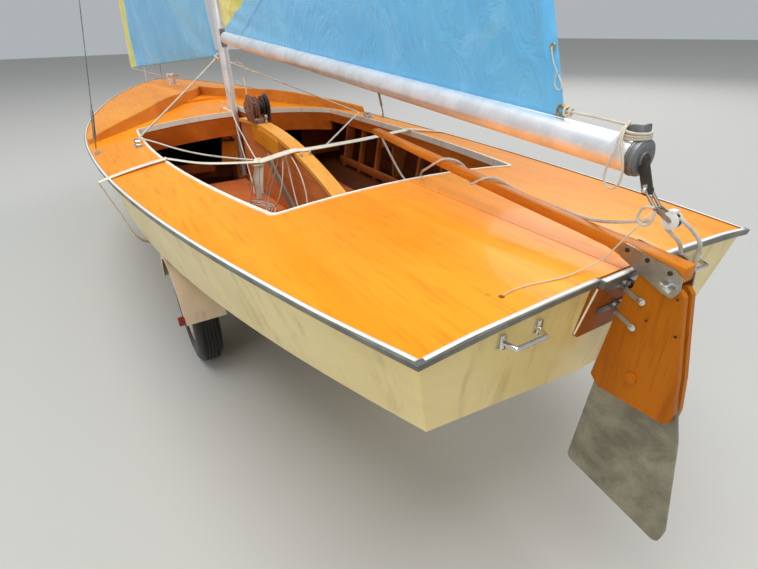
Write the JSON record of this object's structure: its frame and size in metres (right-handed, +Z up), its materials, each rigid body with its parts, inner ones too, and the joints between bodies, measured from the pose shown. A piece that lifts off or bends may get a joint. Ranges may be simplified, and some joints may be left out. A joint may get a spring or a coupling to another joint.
{
  "type": "sailing dinghy on trailer",
  "caption": "Hard-chine plywood sailing dinghy with main and jib set, lifting rudder and centreboard, tied down on its two-wheel road trailer.",
  "frame": {"origin": "centre of the whole part's outline in plan, on the ground under the tyres and the jack's foot", "axes": "+X forward to the bow and the trailer's coupler, +Y to port, +Z up along the mast"},
  "size_m": [6.495, 1.7598, 7.7789],
  "materials": {
    "deck_varnish": "gloss varnished plywood",
    "dark_varnish": "dark varnished mahogany",
    "frame_timber": "oiled frame timber",
    "cockpit_paint": "worn red-brown paint on plywood",
    "moulding_paint": "cream paint",
    "hull_paint": "gloss cream-yellow paint on plywood",
    "rudder_varnish": "varnished plywood",
    "tiller_varnish": "laminated and varnished",
    "bunk_timber": "weathered timber",
    "rail_alloy": "weathered",
    "spar_alloy": "dull anodised",
    "board_plate": "scratched",
    "fitting_steel": "satin stainless",
    "deck_chrome": "plated",
    "stay_wire": "stranded wire",
    "rusty_steel": "rusty brown",
    "spring_steel": "black with rust",
    "trailer_steel": "galvanised",
    "fender_paint": "dusty faded paint",
    "rim_paint": "dull paint",
    "tyre_rubber": "matt with dusty side walls",
    "sail_blue": "sailcloth with broad coloured panels",
    "strap_webbing": "woven webbing",
    "rope_white": "laid rope",
    "lamp_plastic": "moulded lens"
  },
  "bodies": {
    "hull": {"aft_deck": "deck_varnish", "axle": "trailer_steel", "bow_post": "trailer_steel", "bow_winch": "trailer_steel", "bunks": "bunk_timber", "centreboard": "board_plate", "centreboard_trunk": "cockpit_paint", "cockpit_carlins": "frame_timber", "cockpit_moulding": "moulding_paint", "cockpit_sole": "cockpit_paint", "coupler": "trailer_steel", "deck_fittings": "deck_chrome", "fenders": "fender_paint", "foredeck": "deck_varnish", "forestay": "stay_wire", "gooseneck_fork": "fitting_steel", "gudgeons": "fitting_steel", "hull_bottom": "hull_paint", "hull_frames": "frame_timber", "hull_side_port": "hull_paint", "hull_side_starboard": "hull_paint", "jack_tube": "trailer_steel", "jib": "sail_blue", "jib_lines": "rope_white", "leaf_springs": "spring_steel", "mast": "spar_alloy", "mast_fittings": "fitting_steel", "mast_step": "frame_timber", "rub_rail": "rail_alloy", "shrouds": "stay_wire", "side_decks": "deck_varnish", "spray_rail": "dark_varnish", "stem_block": "frame_timber", "tie_strap": "strap_webbing", "trailer_frame": "trailer_steel", "trailer_lamps": "lamp_plastic", "transom": "hull_paint", "transom_handles": "deck_chrome", "transom_pad": "dark_varnish", "transom_rail": "rail_alloy", "trunk_cap": "dark_varnish", "trunk_pad": "frame_timber", "winch_drum": "rusty_steel", "winch_frame": "rusty_steel"},
    "boom": {"boom": "spar_alloy", "boom_fittings": "fitting_steel", "mainsail": "sail_blue"},
    "rudder": {"rudder_board": "rudder_varnish", "rudder_straps": "fitting_steel", "tiller": "tiller_varnish", "tiller_cheeks": "fitting_steel"},
    "blade": {"rudder_blade": "board_plate"},
    "wheel_port": {"tyre_port": "tyre_rubber", "rim_port": "rim_paint"},
    "wheel_starboard": {"tyre_starboard": "tyre_rubber", "rim_starboard": "rim_paint"},
    "jack_leg": {"jack_leg": "trailer_steel"}
  },
  "joints": [
    {"name": "boom_swing", "type": "hinge", "parent": "hull", "child": "boom", "pos_m": [-0.26648, 0, 1.377], "axis": [0, 0, 1], "range_deg": [-50, 50]},
    {"name": "rudder_swing", "type": "hinge", "parent": "hull", "child": "rudder", "pos_m": [-3.01592, 0, 0.853], "axis": [-0.1668, 0, 0.986], "range_deg": [-36, 36]},
    {"name": "blade_lift", "type": "hinge", "parent": "rudder", "child": "blade", "pos_m": [-3.09568, 0, 0.757], "axis": [0, 1, 0], "range_deg": [0, 80]},
    {"name": "wheel_port_spin", "type": "hinge", "parent": "hull", "child": "wheel_port", "pos_m": [-1.36448, 0.628, 0.2625], "axis": [0, 1, 0], "continuous": true},
    {"name": "wheel_starboard_spin", "type": "hinge", "parent": "hull", "child": "wheel_starboard", "pos_m": [-1.36448, -0.628, 0.2625], "axis": [0, 1, 0], "continuous": true},
    {"name": "jack_slide", "type": "slide", "parent": "hull", "child": "jack_leg", "axis": [0, 0, 1], "range_m": [0, 0.22]}
  ]
}
